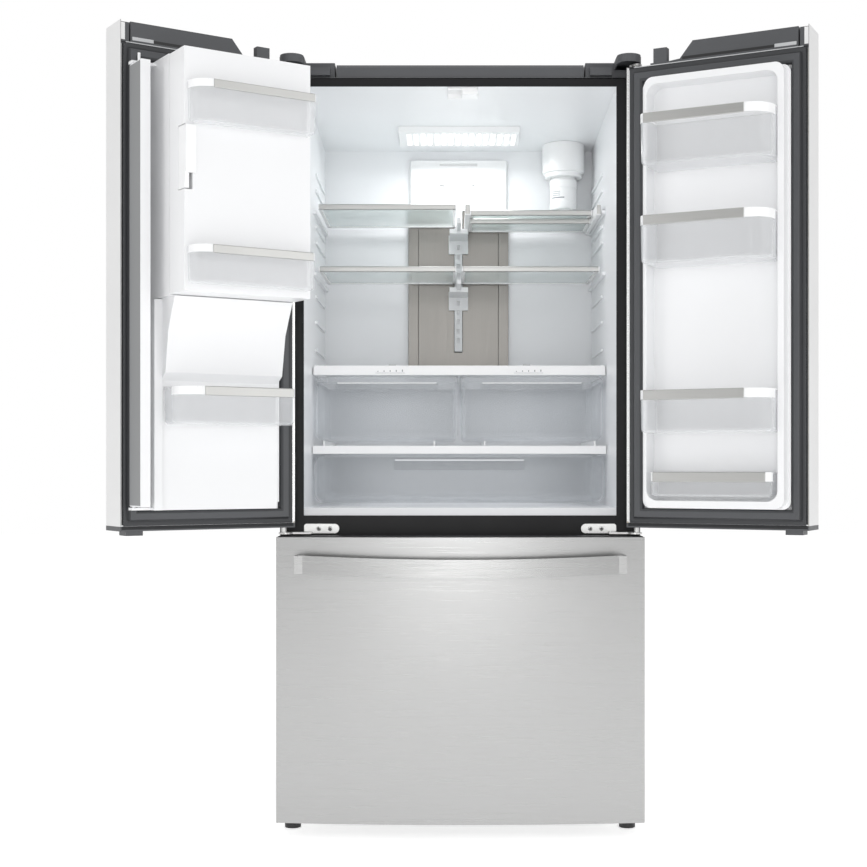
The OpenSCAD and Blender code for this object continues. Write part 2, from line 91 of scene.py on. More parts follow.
def _coords(nt, scale=(1, 1, 1), rot=(0, 0, 0)):
    tc = nt.nodes.new("ShaderNodeTexCoord")
    mp = nt.nodes.new("ShaderNodeMapping")
    mp.inputs["Scale"].default_value = scale
    mp.inputs["Rotation"].default_value = rot
    nt.links.new(tc.outputs["Object"], mp.inputs["Vector"])
    return mp.outputs["Vector"]


def _noise(nt, vec, scale, detail=4.0, rough=0.55):
    n = nt.nodes.new("ShaderNodeTexNoise")
    n.inputs["Scale"].default_value = scale
    n.inputs["Detail"].default_value = detail
    n.inputs["Roughness"].default_value = rough
    nt.links.new(vec, n.inputs["Vector"])
    return n.outputs["Fac"]


def _range(nt, fac, lo, hi, f0=0.3, f1=0.7):
    r = nt.nodes.new("ShaderNodeMapRange")
    r.inputs["From Min"].default_value = f0
    r.inputs["From Max"].default_value = f1
    r.inputs["To Min"].default_value = lo
    r.inputs["To Max"].default_value = hi
    nt.links.new(fac, r.inputs["Value"])
    return r.outputs["Result"]


def _ramp(nt, fac, c0, c1, p0=0.3, p1=0.7):
    r = nt.nodes.new("ShaderNodeValToRGB")
    r.color_ramp.elements[0].position = p0
    r.color_ramp.elements[0].color = (*c0, 1)
    r.color_ramp.elements[1].position = p1
    r.color_ramp.elements[1].color = (*c1, 1)
    nt.links.new(fac, r.inputs["Fac"])
    return r.outputs["Color"]


def _bump(nt, fac, strength, dist, after=None):
    b = nt.nodes.new("ShaderNodeBump")
    b.inputs["Strength"].default_value = strength
    b.inputs["Distance"].default_value = dist
    nt.links.new(fac, b.inputs["Height"])
    if after is not None:
        nt.links.new(after, b.inputs["Normal"])
    return b.outputs["Normal"]


def _tone(c, k):
    return tuple(max(0.0, min(1.0, x * k)) for x in c)


def plastic(name, col, rough=0.35, grain=900, bump=0.08, vary=0.05, coat=0.0, rvary=0.06, emit=0.0, sss=0.0):
    """Moulded plastic or paint: fine grain in the bump, slow tone and gloss variation."""
    m, nt, b = _new(name)
    v = _coords(nt)
    slow = _noise(nt, v, 3.5, 3)
    fine = _noise(nt, v, grain, 2)
    nt.links.new(_ramp(nt, slow, _tone(col, 1 - vary), _tone(col, 1 + vary * 0.5)), b.inputs["Base Color"])
    nt.links.new(_range(nt, slow, rough - rvary, rough + rvary), b.inputs["Roughness"])
    nt.links.new(_bump(nt, fine, bump, 0.0004), b.inputs["Normal"])
    if coat:
        b.inputs["Coat Weight"].default_value = coat
        b.inputs["Coat Roughness"].default_value = 0.12
    if emit:
        b.inputs["Emission Color"].default_value = (1, 1, 1, 1)
        b.inputs["Emission Strength"].default_value = emit
    MATS[name] = m
    return m


def metal(name, col, rough=0.3, stretch=(1, 1, 60), scale=14, bump=0.05, vary=0.06, aniso=0.0, rvary=0.05):
    """Metal with a brushed or rolled grain: noise stretched along the brushing."""
    m, nt, b = _new(name)
    b.inputs["Metallic"].default_value = 1.0
    v = _coords(nt, stretch)
    g = _noise(nt, v, scale, 6, 0.7)
    v2 = _coords(nt, (1, 1, 1))
    slow = _noise(nt, v2, 2.2, 2)
    c = _ramp(nt, g, _tone(col, 1 - vary), _tone(col, 1 + vary), 0.25, 0.75)
    mx = nt.nodes.new("ShaderNodeMix")
    mx.data_type = "RGBA"
    mx.blend_type = "MULTIPLY"
    mx.inputs["Factor"].default_value = 1.0
    nt.links.new(c, mx.inputs[6])
    nt.links.new(_ramp(nt, slow, (0.97, 0.97, 0.97), (1, 1, 1)), mx.inputs[7])
    nt.links.new(mx.outputs[2], b.inputs["Base Color"])
    nt.links.new(_range(nt, g, rough - rvary, rough + rvary), b.inputs["Roughness"])
    nt.links.new(_bump(nt, g, bump, 0.0003), b.inputs["Normal"])
    if aniso:
        b.inputs["Anisotropic"].default_value = aniso
        t = nt.nodes.new("ShaderNodeTangent")
        t.direction_type = "RADIAL"
        t.axis = "Z"
        nt.links.new(t.outputs["Tangent"], b.inputs["Tangent"])
    MATS[name] = m
    return m


def clear(name, col, a0, a1, rough=0.08, edge=0.35, vary=0.05):
    """Clear moulded plastic or glass: thin and see-through face on, denser at grazing angles and rims."""
    m, nt, b = _new(name)
    v = _coords(nt)
    slow = _noise(nt, v, 5, 3)
    nt.links.new(_ramp(nt, slow, _tone(col, 1 - vary), col), b.inputs["Base Color"])
    nt.links.new(_range(nt, slow, rough * 0.8, rough * 1.3), b.inputs["Roughness"])
    nt.links.new(_bump(nt, _noise(nt, v, 60, 2), 0.03, 0.0005), b.inputs["Normal"])
    lw = nt.nodes.new("ShaderNodeLayerWeight")
    lw.inputs["Blend"].default_value = edge
    nt.links.new(_range(nt, lw.outputs["Facing"], a0, a1, 0.0, 1.0), b.inputs["Alpha"])
    b.inputs["IOR"].default_value = 1.49
    MATS[name] = m
    return m


plastic("case_paint", (0.16, 0.165, 0.17), 0.42, 1400, 0.35, 0.06)
plastic("frame_black", (0.012, 0.012, 0.013), 0.38, 900, 0.1, 0.1)
plastic("cover_dark", (0.085, 0.088, 0.094), 0.42, 1300, 0.3, 0.08)
plastic("cover_darker", (0.03, 0.031, 0.033), 0.45, 1300, 0.3, 0.1)
plastic("gasket", (0.042, 0.044, 0.048), 0.5, 700, 0.15, 0.08)
# a lighter copy of the gasket rubber: painted sheen where the gasket's front face catches the light
plastic("gasket_painted_sheen", (0.075, 0.078, 0.084), 0.42, 700, 0.15, 0.08)
plastic("side_light", (0.80, 0.80, 0.80), 0.40, 700, 0.05, 0.02)
plastic("liner", (0.90, 0.912, 0.93), 0.34, 300, 0.03, 0.006, coat=0.06, rvary=0.015)
plastic("liner_door", (0.89, 0.895, 0.905), 0.32, 300, 0.03, 0.006, coat=0.08, rvary=0.015)
plastic("white_trim", (0.93, 0.935, 0.94), 0.32, 500, 0.04, 0.01, coat=0.1, rvary=0.02)
plastic("white_soft", (0.83, 0.84, 0.85), 0.38, 500, 0.05, 0.02)
plastic("grey_seal", (0.50, 0.51, 0.53), 0.5, 600, 0.1, 0.05)
plastic("flip_grey", (0.27, 0.275, 0.28), 0.4, 600, 0.05, 0.03)
plastic("grey_plastic", (0.30, 0.31, 0.32), 0.5, 900, 0.2, 0.06)
plastic("light_grey", (0.55, 0.56, 0.57), 0.45, 900, 0.12, 0.05)
plastic("black_plastic", (0.018, 0.018, 0.019), 0.4, 900, 0.2, 0.1)
plastic("gloss_black", (0.008, 0.008, 0.009), 0.12, 200, 0.01, 0.1, coat=0.5, rvary=0.03)
plastic("black_paint", (0.014, 0.014, 0.014), 0.35, 500, 0.1, 0.1)
plastic("foam", (0.72, 0.62, 0.40), 0.85, 250, 0.8, 0.12)
plastic("lamp", (0.93, 0.93, 0.92), 0.4, 200, 0.05, 0.02, emit=0.9)
plastic("mark_grey", (0.30, 0.31, 0.33), 0.5, 500, 0.02, 0.05)
plastic("mark_white", (0.8, 0.8, 0.8), 0.4, 500, 0.02, 0.03)
metal("steel", (0.45, 0.45, 0.448), 0.30, (0.6, 0.6, 75), 9, 0.05, 0.035, aniso=0.55)
metal("steel_edge", (0.78, 0.78, 0.775), 0.26, (0.6, 0.6, 60), 9, 0.03, 0.03)
metal("handle_steel", (0.40, 0.40, 0.398), 0.26, (0.6, 0.6, 80), 9, 0.04, 0.03, aniso=0.5)
metal("bar_alu", (0.50, 0.50, 0.488), 0.34, (1, 1, 50), 12, 0.04, 0.04)
metal("zinc", (0.70, 0.70, 0.69), 0.34, (3, 3, 3), 60, 0.08, 0.08)
metal("taupe_steel", (0.27, 0.26, 0.245), 0.36, (70, 70, 0.7), 8, 0.05, 0.05)
metal("fins", (0.75, 0.75, 0.75), 0.35, (8, 8, 1), 20, 0.05, 0.05)
clear("clear_bin", (0.96, 0.975, 0.995), 0.11, 0.48, 0.10, 0.40)
clear("clear_drawer", (0.90, 0.94, 0.985), 0.12, 0.45, 0.10, 0.40)
clear("glass", (0.75, 0.84, 0.83), 0.12, 0.75, 0.04, 0.40)
clear("glass_edge", (0.25, 0.38, 0.36), 0.75, 0.95, 0.10, 0.40)

for _m in ("frame_black", "cover_darker"):
    MATS[_m].node_tree.nodes["Principled BSDF"].inputs["Specular IOR Level"].default_value = 0.22


# ------------------------------------------------------------------ mesh tools
def finish_obj(o, body, mat, bevel=0.0, seg=2, angle=35, smooth=True, wn=True):
    o.data.materials.clear()
    o.data.materials.append(MATS[mat])
    if smooth:
        for p in o.data.polygons:
            p.use_smooth = True
    if bevel:
        md = o.modifiers.new("round", "BEVEL")
        md.width = bevel / 1000
        md.segments = seg
        md.limit_method = "ANGLE"
        md.angle_limit = math.radians(angle)
        md.use_clamp_overlap = True
        md.miter_outer = "MITER_ARC"
        md.harden_normals = False
    if smooth and wn:
        wn_ = o.modifiers.new("normals", "WEIGHTED_NORMAL")
        wn_.keep_sharp = True
        wn_.weight = 80
    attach(o, body)
    return o


def soft(node, mat, bevel=1.0, seg=2, angle=32, name=None):
    """A rounded copy of a CAD node that stands for it."""
    src = N[node]
    me = src.data.copy()
    me.materials.clear()

    def clean(merge):
        bm = bmesh.new()
        bm.from_mesh(src.data)
        bmesh.ops.remove_doubles(bm, verts=bm.verts, dist=2e-6)
        a0 = sum(f.calc_area() for f in bm.faces)
        if merge:
            bmesh.ops.dissolve_limit(bm, angle_limit=0.004, verts=bm.verts, edges=bm.edges)
        bmesh.ops.recalc_face_normals(bm, faces=bm.faces)
        chk = bm.copy()
        bmesh.ops.triangulate(chk, faces=chk.faces)
        a1 = sum(f.calc_area() for f in chk.faces)
        chk.free()
        return bm, abs(a1 / a0 - 1) < 2e-3

    bm, good = clean(True)
    if not good:
        bm.free()
        bm, _ = clean(False)
        print("KEPT TRIANGLES", node)
    for e in bm.edges:
        if len(e.link_faces) == 2 and e.calc_face_angle(0) > math.radians(40):
            e.smooth = False
    bm.to_mesh(me)
    bm.free()
    for a in list(me.attributes):
        if a.name == "custom_normal":
            me.attributes.remove(a)
    o = bpy.data.objects.new(name or node + "_look", me)
    bpy.context.scene.collection.objects.link(o)
    finish_obj(o, src["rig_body"], mat, bevel, seg, angle)
    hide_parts(node)
    SOFT.append((o, node))
    return o


SOFT = []


def _drawn_area(me):
    me.calc_loop_triangles()
    return sum(t.area for t in me.loop_triangles)


def drop_bad_rounding():
    """Copies whose rounded surface, as drawn, no longer has the CAD's area go back to the CAD's own triangles."""
    dg = bpy.context.evaluated_depsgraph_get()
    dg.update()
    bad = []
    for o, node in SOFT:
        ev = o.evaluated_get(dg)
        me = ev.to_mesh()
        a1 = _drawn_area(me)
        ev.to_mesh_clear()
        a0 = _drawn_area(N[node].data)
        if node in RAW or a1 / a0 > 1.04 or a1 / a0 < 0.85:
            print("NO ROUNDING", o.name, round(a0, 4), round(a1, 4))
            bad.append((o, node))
    for o, node in bad:
        if "round" in o.modifiers:
            o.modifiers.remove(o.modifiers["round"])
        bm = bmesh.new()
        bm.from_mesh(N[node].data)
        bmesh.ops.remove_doubles(bm, verts=bm.verts, dist=2e-6)
        bmesh.ops.recalc_face_normals(bm, faces=bm.faces)
        for f in bm.faces:
            f.smooth = True
            f.material_index = 0
        for e in bm.edges:
            if len(e.link_faces) != 2 or e.calc_face_angle(0) > math.radians(30):
                e.smooth = False
        bm.to_mesh(o.data)
        bm.free()


class Part:
    """Collects closed shapes in millimetres, then becomes one object placed by the matrix."""

    def __init__(self, name, body, mat, T=CAB, bevel=0.0, seg=2, angle=35):
        self.a = (name, body, mat, T, bevel, seg, angle)
        self.bm = bmesh.new()

    def face(self, vs):
        try:
            return self.bm.faces.new(vs)
        except ValueError:
            return None

    def box(self, x0, x1, y0, y1, z0, z1):
        v = [self.bm.verts.new(p) for p in ((x0, y0, z0), (x1, y0, z0), (x1, y1, z0), (x0, y1, z0),
                                           (x0, y0, z1), (x1, y0, z1), (x1, y1, z1), (x0, y1, z1))]
        for f in ((0, 3, 2, 1), (4, 5, 6, 7), (0, 1, 5, 4), (1, 2, 6, 5), (2, 3, 7, 6), (3, 0, 4, 7)):
            self.face([v[i] for i in f])
        return self

    def loft(self, loops, cap0=True, cap1=True, closed=True):
        """Loops of equal length, each a list of points; joined side by side."""
        vs = [[self.bm.verts.new(p) for p in lp] for lp in loops]
        n = len(vs[0])
        for a, b in zip(vs, vs[1:]):
            for i in range(n if closed else n - 1):
                j = (i + 1) % n
                self.face([a[i], a[j], b[j], b[i]])
        if cap0:
            self.face(list(reversed(vs[0])))
        if cap1:
            self.face(vs[-1])
        return vs

    def prism(self, pts, axis, a, b):
        def P(p, t):
            return {"x": (t, p[0], p[1]), "y": (p[0], t, p[1]), "z": (p[0], p[1], t)}[axis]
        self.loft([[P(p, a) for p in pts], [P(p, b) for p in pts]])
        return self

    def lathe(self, prof, c, axis="z", n=40):
        """prof is a list of (radius, height) from one end to the other."""
        loops = []
        for r, h in prof:
            lp = []
            for k in range(n):
                t = 2 * math.pi * k / n
                u, w = r * math.cos(t), r * math.sin(t)
                lp.append({"z": (c[0] + u, c[1] + w, c[2] + h), "y": (c[0] + u, c[1] + h, c[2] + w),
                           "x": (c[0] + h, c[1] + u, c[2] + w)}[axis])
            loops.append(lp)
        self.loft(loops)
        return self

    def ring(self, outer, prof, plane="xz"):
        """A mitred frame: outer = (x0, x1, z0, z1), prof = list of (inward, depth) points of the section."""
        x0, x1, z0, z1 = outer
        loops = []
        for d, y in prof:
            lp = [(x0 + d, y, z0 + d), (x1 - d, y, z0 + d), (x1 - d, y, z1 - d), (x0 + d, y, z1 - d)]
            loops.append(lp)
        loops.append(loops[0])
        vs = [[self.bm.verts.new(p) for p in lp] for lp in loops[:-1]]
        vs.append(vs[0])
        for a, b in zip(vs, vs[1:]):
            for i in range(4):
                j = (i + 1) % 4
                self.face([a[i], a[j], b[j], b[i]])
        return self

    def tube(self, pts, r, n=10):
        pts = [Vector(p) for p in pts]
        loops = []
        up = Vector((0.13, 0.31, 0.94)).normalized()
        for i, p in enumerate(pts):
            d = (pts[min(i + 1, len(pts) - 1)] - pts[max(i - 1, 0)]).normalized()
            u = d.cross(up).normalized()
            w = d.cross(u).normalized()
            loops.append([p + r * (math.cos(2 * math.pi * k / n) * u + math.sin(2 * math.pi * k / n) * w)
                          for k in range(n)])
        self.loft(loops)
        return self

    def done(self, replaces=(), smooth=True, body=None, wn=True, sharp=40):
        name, bd, mat, T, bevel, seg, angle = self.a
        bm = self.bm
        bmesh.ops.recalc_face_normals(bm, faces=bm.faces)
        bm.transform(T)
        bmesh.ops.recalc_face_normals(bm, faces=bm.faces)
        for e in bm.edges:
            if len(e.link_faces) == 2 and e.calc_face_angle(0) > math.radians(sharp):
                e.smooth = False
        me = bpy.data.meshes.new(name)
        bm.to_mesh(me)
        bm.free()
        o = bpy.data.objects.new(name, me)
        bpy.context.scene.collection.objects.link(o)
        finish_obj(o, body or bd, mat, bevel, seg, angle, smooth, wn)
        if replaces:
            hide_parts(*replaces)
        return o


def rrect(x0, x1, y0, y1, r, n=6, r2=None):
    """Counter-clockwise rounded rectangle. r rounds the y0 corners, r2 (else r) the y1 corners;
    r2 may be a pair, the x0 corner first."""
    ra, rb_ = (r2 if isinstance(r2, tuple) else (r2, r2)) if r2 is not None else (r, r)
    out = []
    for cx, cy, rr, a0 in ((x1, y0, r, -90), (x1, y1, rb_, 0), (x0, y1, ra, 90), (x0, y0, r, 180)):
        rr = max(rr, 0.3)
        sx = -1 if cx == x1 else 1
        sy = -1 if cy == y1 else 1
        for k in range(n + 1):
            t = math.radians(a0 + 90 * k / n)
            out.append((cx + sx * rr + rr * math.cos(t), cy + sy * rr + rr * math.sin(t)))
    return out


def tray(part, x0, x1, y0, y1, z0, z1, wall=2.5, rb=0.8, rf=(40, 40), fillet=10, draft=0.0, rim=1.2):
    """Rounded moulded tray: rb rounds the y0 corners, rf the y1 corners; the walls lean in by draft at the bottom."""
    def outline(i):
        d = y1 - y0 - 2 * i
        b = max(rb - i, 0.4)
        return rrect(x0 + i, x1 - i, y0 + i, y1 - i, b, 9, tuple(max(min(q - i, d - b - 0.4), 1.0) for q in rf))
    loops = []

    def add(i, z):
        loops.append([(x, y, z) for x, y in outline(i)])
    nf = 5
    for k in range(nf + 1):
        t = math.pi / 2 * k / nf
        add(draft + fillet * (1 - math.sin(t)), z0 + fillet * (1 - math.cos(t)))
    add(draft * 0.5, (z0 + fillet + z1) / 2)
    add(0, z1 - rim)
    add(rim * 0.3, z1 - rim * 0.3)
    add(rim, z1)
    add(wall - rim * 0.7, z1)
    add(wall, z1 - rim)
    add(draft * 0.5 + wall, (z0 + fillet + z1) / 2)
    fi = max(fillet - wall, 2)
    for k in range(nf, -1, -1):
        t = math.pi / 2 * k / nf
        add(draft + wall + fi * (1 - math.sin(t)), z0 + wall + fi * (1 - math.cos(t)))
    part.loft(loops)
    return part


def screw(name, body, c, axis, r=5.0, h=2.2, T=CAB, mat="zinc", out=1, cross=True):
    """Pan head screw; its cross recess is drawn as a black cross, painted shade in the recess; out is the direction the
    head faces along the axis.
    """
    p = Part(name, body, mat, T, 0)
    prof = [(r * 0.98, 0), (r, 0.25 * h * out), (r * 0.93, 0.6 * h * out), (r * 0.7, 0.88 * h * out),
            (r * 0.42, h * out), (0.34 * r, 0.97 * h * out), (0.2 * r, 0.5 * h * out)]
    p.lathe(prof, c, axis, 20)
    o = p.done()
    if cross:
        # the cross recess: black boxes on the head as painted shade where the recess is
        q = Part(name + "_recess_painted_shade", body, "black_plastic", T, 0)
        a = 0.62 * r
        w = 0.15 * r
        t0, t1 = (0.86 * h * out, 1.03 * h * out)
        if t0 > t1:
            t0, t1 = t1, t0
        for dx, dz in ((a, w), (w, a)):
            if axis == "y":
                q.box(c[0] - dx, c[0] + dx, c[1] + t0, c[1] + t1, c[2] - dz, c[2] + dz)
            elif axis == "z":
                q.box(c[0] - dx, c[0] + dx, c[1] - dz, c[1] + dz, c[2] + t0, c[2] + t1)
            else:
                q.box(c[0] + t0, c[0] + t1, c[1] - dx, c[1] + dx, c[2] - dz, c[2] + dz)
        q.done()
    return o


# ------------------------------------------------------------------ cabinet
CB = "cabinet"
soft("cabinet_shell", "case_paint", 1.2)
soft("front_frame", "frame_black", 0.6)
soft("fridge_liner", "liner", 0)
RAW = {"fridge_liner", "front_frame", "freezer_liner", "machine_cover"}
soft("freezer_liner", "liner", 1.2)
soft("top_cover", "cover_dark", 2.2)
soft("machine_cover", "grey_plastic", 0.5)
soft("hinge_brackets", "zinc", 0.9)
soft("compressor", "black_paint", 1.5)
soft("fan_shroud", "black_plastic", 0.8)
soft("air_duct_cover", "white_trim", 2.5, 3)
soft("cooling_panel", "taupe_steel", 1.2)
soft("shelf_track", "white_soft", 0.8)
soft("mullion_guide", "white_trim", 2.0)
soft("filter_head", "white_trim", 2.5, 3)
soft("crisper_cover", "white_trim", 1.2)
soft("pantry_cover", "white_trim", 1.2)
soft("freezer_rails", "zinc", 0.8)
soft("levelling_feet", "black_plastic", 1.2)
soft("base_frame", "zinc", 1.0)
soft("rear_rollers", "black_plastic", 1.0)
soft("condenser_fan", "black_plastic", 0.4)
soft("humidity_slider_left", "light_grey", 0.8)
soft("humidity_slider_right", "light_grey", 0.8)
for nm, mt in (("foam_insulation", "foam"), ("evaporator_coil", "fins"), ("left_door_core", "foam"),
               ("right_door_core", "foam")):
    N[nm].data.materials.clear()
    N[nm].data.materials.append(MATS[mt])

# lamp lens with cross ribs and a frosted window
lo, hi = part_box("ceiling_lamp_lens")
soft("ceiling_lamp_lens", "white_trim", 2.0)
CS = 24 / 597


def ceil_z(y):
    return 1719 - (y - 3) * CS


p = Part("lamp_window", CB, "lamp", CAB, 0.6)
for k in range(16):
    x = -134 + k * 18
    za, zb = ceil_z(374) - 13.2, ceil_z(478) - 13.2
    p.loft([[(x, 374, za + 2), (x + 11, 374, za + 2), (x + 11, 374, za), (x + 5.5, 374, za - 1.6), (x, 374, za)],
            [(x, 478, zb + 2), (x + 11, 478, zb + 2), (x + 11, 478, zb), (x + 5.5, 478, zb - 1.6), (x, 478, zb)]])
p.done()

# water filter cartridge: ribbed body, twist grip, plain band
p = Part("water_filter_look", "water_filter", "white_trim", CAB, 0)
prof = [(12, 1517), (26, 1516.4), (30, 1518.5), (31, 1523.6), (34.5, 1524.4), (36.2, 1527), (36.5, 1531), (36.5, 1546),
        (35.4, 1547), (35.4, 1582), (36.5, 1583), (36.5, 1600), (35.6, 1604), (33, 1606), (32, 1607), (32, 1637.6)]
p.lathe([(r, z) for r, z in prof], (280, 541, 0), "z", 64)
p.done(replaces=("water_filter",))
p = Part("water_filter_band", "water_filter", "mark_grey", CAB, 0)
for a0, z0, z1 in ((-150, 1553, 1556), (-150, 1560, 1561.4), (-150, 1565, 1566.4), (-150, 1570, 1571.4)):
    n = 10 if z0 == 1553 else 7
    for k in range(n):
        t0, t1 = math.radians(a0 + k * 6), math.radians(a0 + (k + 1) * 6)
        q = []
        for rr_ in (35.2, 35.75):
            q.append([(280 + rr_ * math.cos(t), 541 + rr_ * math.sin(t), z) for t, z in
                      ((t0, z0), (t1, z0), (t1, z1), (t0, z1))])
        p.loft(q)
p.done()
p = Part("water_filter_grip", "water_filter", "white_soft", CAB, 0.5)
for a in range(0, 180, 30):
    t = math.radians(a)
    for s in (1, -1):
        c, d = math.cos(t) * s, math.sin(t) * s
        q = []
        for r_, w in ((29.0, 2.2), (35.2, 1.6)):
            q.append([(280 + r_ * c - w * d, 541 + r_ * d + w * c, 1517.5), (280 + r_ * c + w * d, 541 + r_ * d - w * c, 1517.5),
                      (280 + r_ * c + w * d, 541 + r_ * d - w * c, 1523.8), (280 + r_ * c - w * d, 541 + r_ * d + w * c, 1523.8)])
        p.loft(q)
p.done()

# ------------------------------------------------------------------ shelves
def shelf_look(tag, body, x0, x1, y0, y1, z, nodes=(), front=True, gt=4.0, lip=(9, 5), ramp=True):
    """Glass plate in a white moulded frame with a metal trim on the front edge."""
    g = Part(tag + "_glass", body, "glass", CAB, 0.6)
    g.box(x0 + 7, x1 - 7, y0 + 1, y1 - 3, z - gt, z)
    go = g.done(replaces=nodes)
    e = Part(tag + "_glass_edge", body, "glass_edge", CAB, 0.3)
    e.box(x0 + 8, x1 - 8, y0 - 0.2, y0 + 1.2, z - gt + 0.2, z - 0.2)
    e.done()
    f = Part(tag + "_frame", body, "white_trim", CAB, 0.8)
    f.box(x0, x0 + 8.5, y0, y1, z - gt - 2, z + 1.5)
    f.box(x1 - 8.5, x1, y0, y1, z - gt - 2, z + 1.5)
    f.box(x0, x1, y1 - 9, y1, z - gt - 2, z + 3)
    f.done()
    if front:
        b = Part(tag + "_front_bar", body, "bar_alu", CAB, 1.0, 3)
        b.prism([(y0 - 8, z - lip[0] + 1), (y0 - 8, z + lip[1] - 2.2), (y0 - 6, z + lip[1]), (y0, z + lip[1] - 0.6),
                 (y0, z - lip[0])], "x", x0 + 3, x1 - 3)
        b.done()
        c = Part(tag + "_front_ends", body, "white_trim", CAB, 1.0, 3)
        for a, d in ((x0, x0 + 3.2), (x1 - 3.2, x1)):
            c.box(a, d, y0 - 8, y0 + 3, z - lip[0], z + lip[1])
        c.done()


shelf_look("shelf_lower_left", CB, -352, -7, 300, 575, 1338, ("glass_shelves",))
shelf_look("shelf_lower_right", CB, 7, 352, 300, 575, 1338)
shelf_look("shelf_upper_left", CB, -352, -7, 278, 575, 1490)
shelf_look("shelf_upper_right_rear", CB, 27, 341, 420, 575, 1478)
p = Part("shelf_upper_right_rails", CB, "white_trim", CAB, 1.2)
for a, b in ((15, 27), (341, 352)):
    p.box(a, b, 258, 575, 1466, 1492)
p.done()
p = Part("shelf_upper_right_rail_tips", CB, "bar_alu", CAB, 1.2)
p.box(341.3, 351.7, 257.6, 262, 1468, 1491)
p.box(15.3, 26.7, 257.6, 262, 1468, 1491)
p.done()
shelf_look("tuck_shelf", "tuck_shelf", 28, 340, 370, 570, 1490, ("tuck_shelf_front",), gt=4, lip=(8, 6))

# ------------------------------------------------------------------ crispers and pantry drawer
def crisper_look(tag, body, x0, x1, node):
    p = Part(tag + "_body", body, "clear_drawer", CAB, 0)
    def o(i):
        return rrect(x0 + 3 + i, x1 - 3 - i, 236 + i, 580 - i, 14 - min(i, 10), 6)
    loops = []
    for k in range(6):
        t = math.pi / 2 * k / 5
        loops.append([(x, y, 906 + 12 * (1 - math.cos(t))) for x, y in o(12 * (1 - math.sin(t)))])
    loops.append([(x, y, 1042) for x, y in o(0)])
    loops.append([(x, y, 1049.5) for x, y in o(1.0)])
    loops.append([(x, y, 1049.5) for x, y in o(2.4)])
    loops.append([(x, y, 1042) for x, y in o(3)])
    for k in range(5, -1, -1):
        t = math.pi / 2 * k / 5
        loops.append([(x, y, 909 + 10 * (1 - math.cos(t))) for x, y in o(3 + 10 * (1 - math.sin(t)))])
    p.loft(loops)
    p.done(replaces=(node,))
    # front panel, a rounded plate with a rolled edge and a recessed pull
    q = Part(tag + "_front", body, "clear_drawer", CAB, 0)
    ls = []
    for i, y in ((3, 236), (0.8, 235), (0, 233), (0, 229), (0.8, 227), (3.2, 226), (13, 226), (15.5, 228.6), (18, 229)):
        ls.append([(x, y, z) for x, z in rrect(x0 + i, x1 - i, 912 + i, 1062 - i, max(12 - i, 2), 6)])
    q.loft(ls)
    q.done()
    g = Part(tag + "_grip", body, "clear_drawer", CAB, 1.5, 3)
    g.box(x0 + 50, x1 - 50, 227.6, 231, 1029, 1047)
    g.done()
    r = Part(tag + "_grip_lip", body, "white_trim", CAB, 0.8)
    r.box(x0 + 52, x1 - 52, 226.4, 228.6, 1045.4, 1048.2)
    r.done()
    s = Part(tag + "_rails", body, "clear_drawer", CAB, 0.6)
    s.box(x0, x0 + 3, 238, 579, 1042, 1050)
    s.box(x1 - 3, x1, 238, 579, 1042, 1050)
    s.done()


crisper_look("crisper_left", "crisper_left", -353, -4, "crisper_left")
crisper_look("crisper_right", "crisper_right", 4, 353, "crisper_right")

p = Part("pantry_drawer_body", "pantry_drawer", "clear_drawer", CAB, 0)


def po(i):
    return rrect(-352 + i, 352 - i, 214 + i, 580 - i, max(26 - i, 3), 7)


loops = []
for k in range(6):
    t = math.pi / 2 * k / 5
    loops.append([(x, y, 754 + 22 * (1 - math.cos(t))) for x, y in po(22 * (1 - math.sin(t)))])
loops += [[(x, y, 858) for x, y in po(0)], [(x, y, 866) for x, y in po(0.8)], [(x, y, 866) for x, y in po(2.4)],
          [(x, y, 858) for x, y in po(3)]]
for k in range(5, -1, -1):
    t = math.pi / 2 * k / 5
    loops.append([(x, y, 757 + 20 * (1 - math.cos(t))) for x, y in po(3 + 20 * (1 - math.sin(t)))])
p.loft(loops)
p.done(replaces=("pantry_drawer",))
p = Part("pantry_drawer_front", "pantry_drawer", "clear_drawer", CAB, 0)
ls = []
for i, y in ((3, 214), (0.8, 213), (0, 211), (0, 208.5), (0.8, 206.8), (3.2, 206), (14, 206), (17, 208.8), (20, 209.2)):
    ls.append([(x, y, z) for x, z in rrect(-356 + i, 356 - i, 752 + i, 869 - i, max(26 - i, 3), 7)])
p.loft(ls)
p.done()
p = Part("pantry_drawer_grip", "pantry_drawer", "clear_drawer", CAB, 1.5, 3)
p.box(-160, 160, 206.4, 211, 833, 858)
p.done()
p = Part("pantry_drawer_grip_lip", "pantry_drawer", "white_trim", CAB, 0.8)
p.box(-158, 158, 206.2, 208.4, 855, 858.6)
p.done()

# small plain marks beside the humidity sliders
p = Part("slider_marks", CB, "mark_grey", CAB, 0)
for s in (-1, 1):
    cx = 170 * s
    for k in range(5):
        h = 1.2 + 0.5 * k
        p.box(cx - 30 + k * 15 - 1.2, cx - 30 + k * 15 + 1.2, 217.8, 218.2, 1074, 1074 + h * 1.6)
    p.box(cx - 36, cx + 36, 217.8, 218.2, 1070.4, 1071.2)
p.done()

# ------------------------------------------------------------------ gaskets
GP = [(0, -15.8), (0.6, -13), (2, -12), (7, -12), (8.5, -13.2), (10, -12.2), (11, -6), (13, -2.2), (17, -1.6), (24, -1.6),
      (27.5, -2.6), (29, -6), (29.4, -15.8)]


def frame4(part, outer, inner, prof):
    """A mitred frame between two rectangles (x0, x1, z0, z1); prof = (0 outer .. 1 inner, depth)."""
    loops = []
    for t, y in prof:
        q = [outer[i] + (inner[i] - outer[i]) * t for i in range(4)]
        loops.append([part.bm.verts.new(c) for c in ((q[0], y, q[2]), (q[1], y, q[2]), (q[1], y, q[3]), (q[0], y, q[3]))])
    loops.append(loops[0])
    for a, b in zip(loops, loops[1:]):
        for i in range(4):
            j = (i + 1) % 4
            part.face([a[i], a[j], b[j], b[i]])


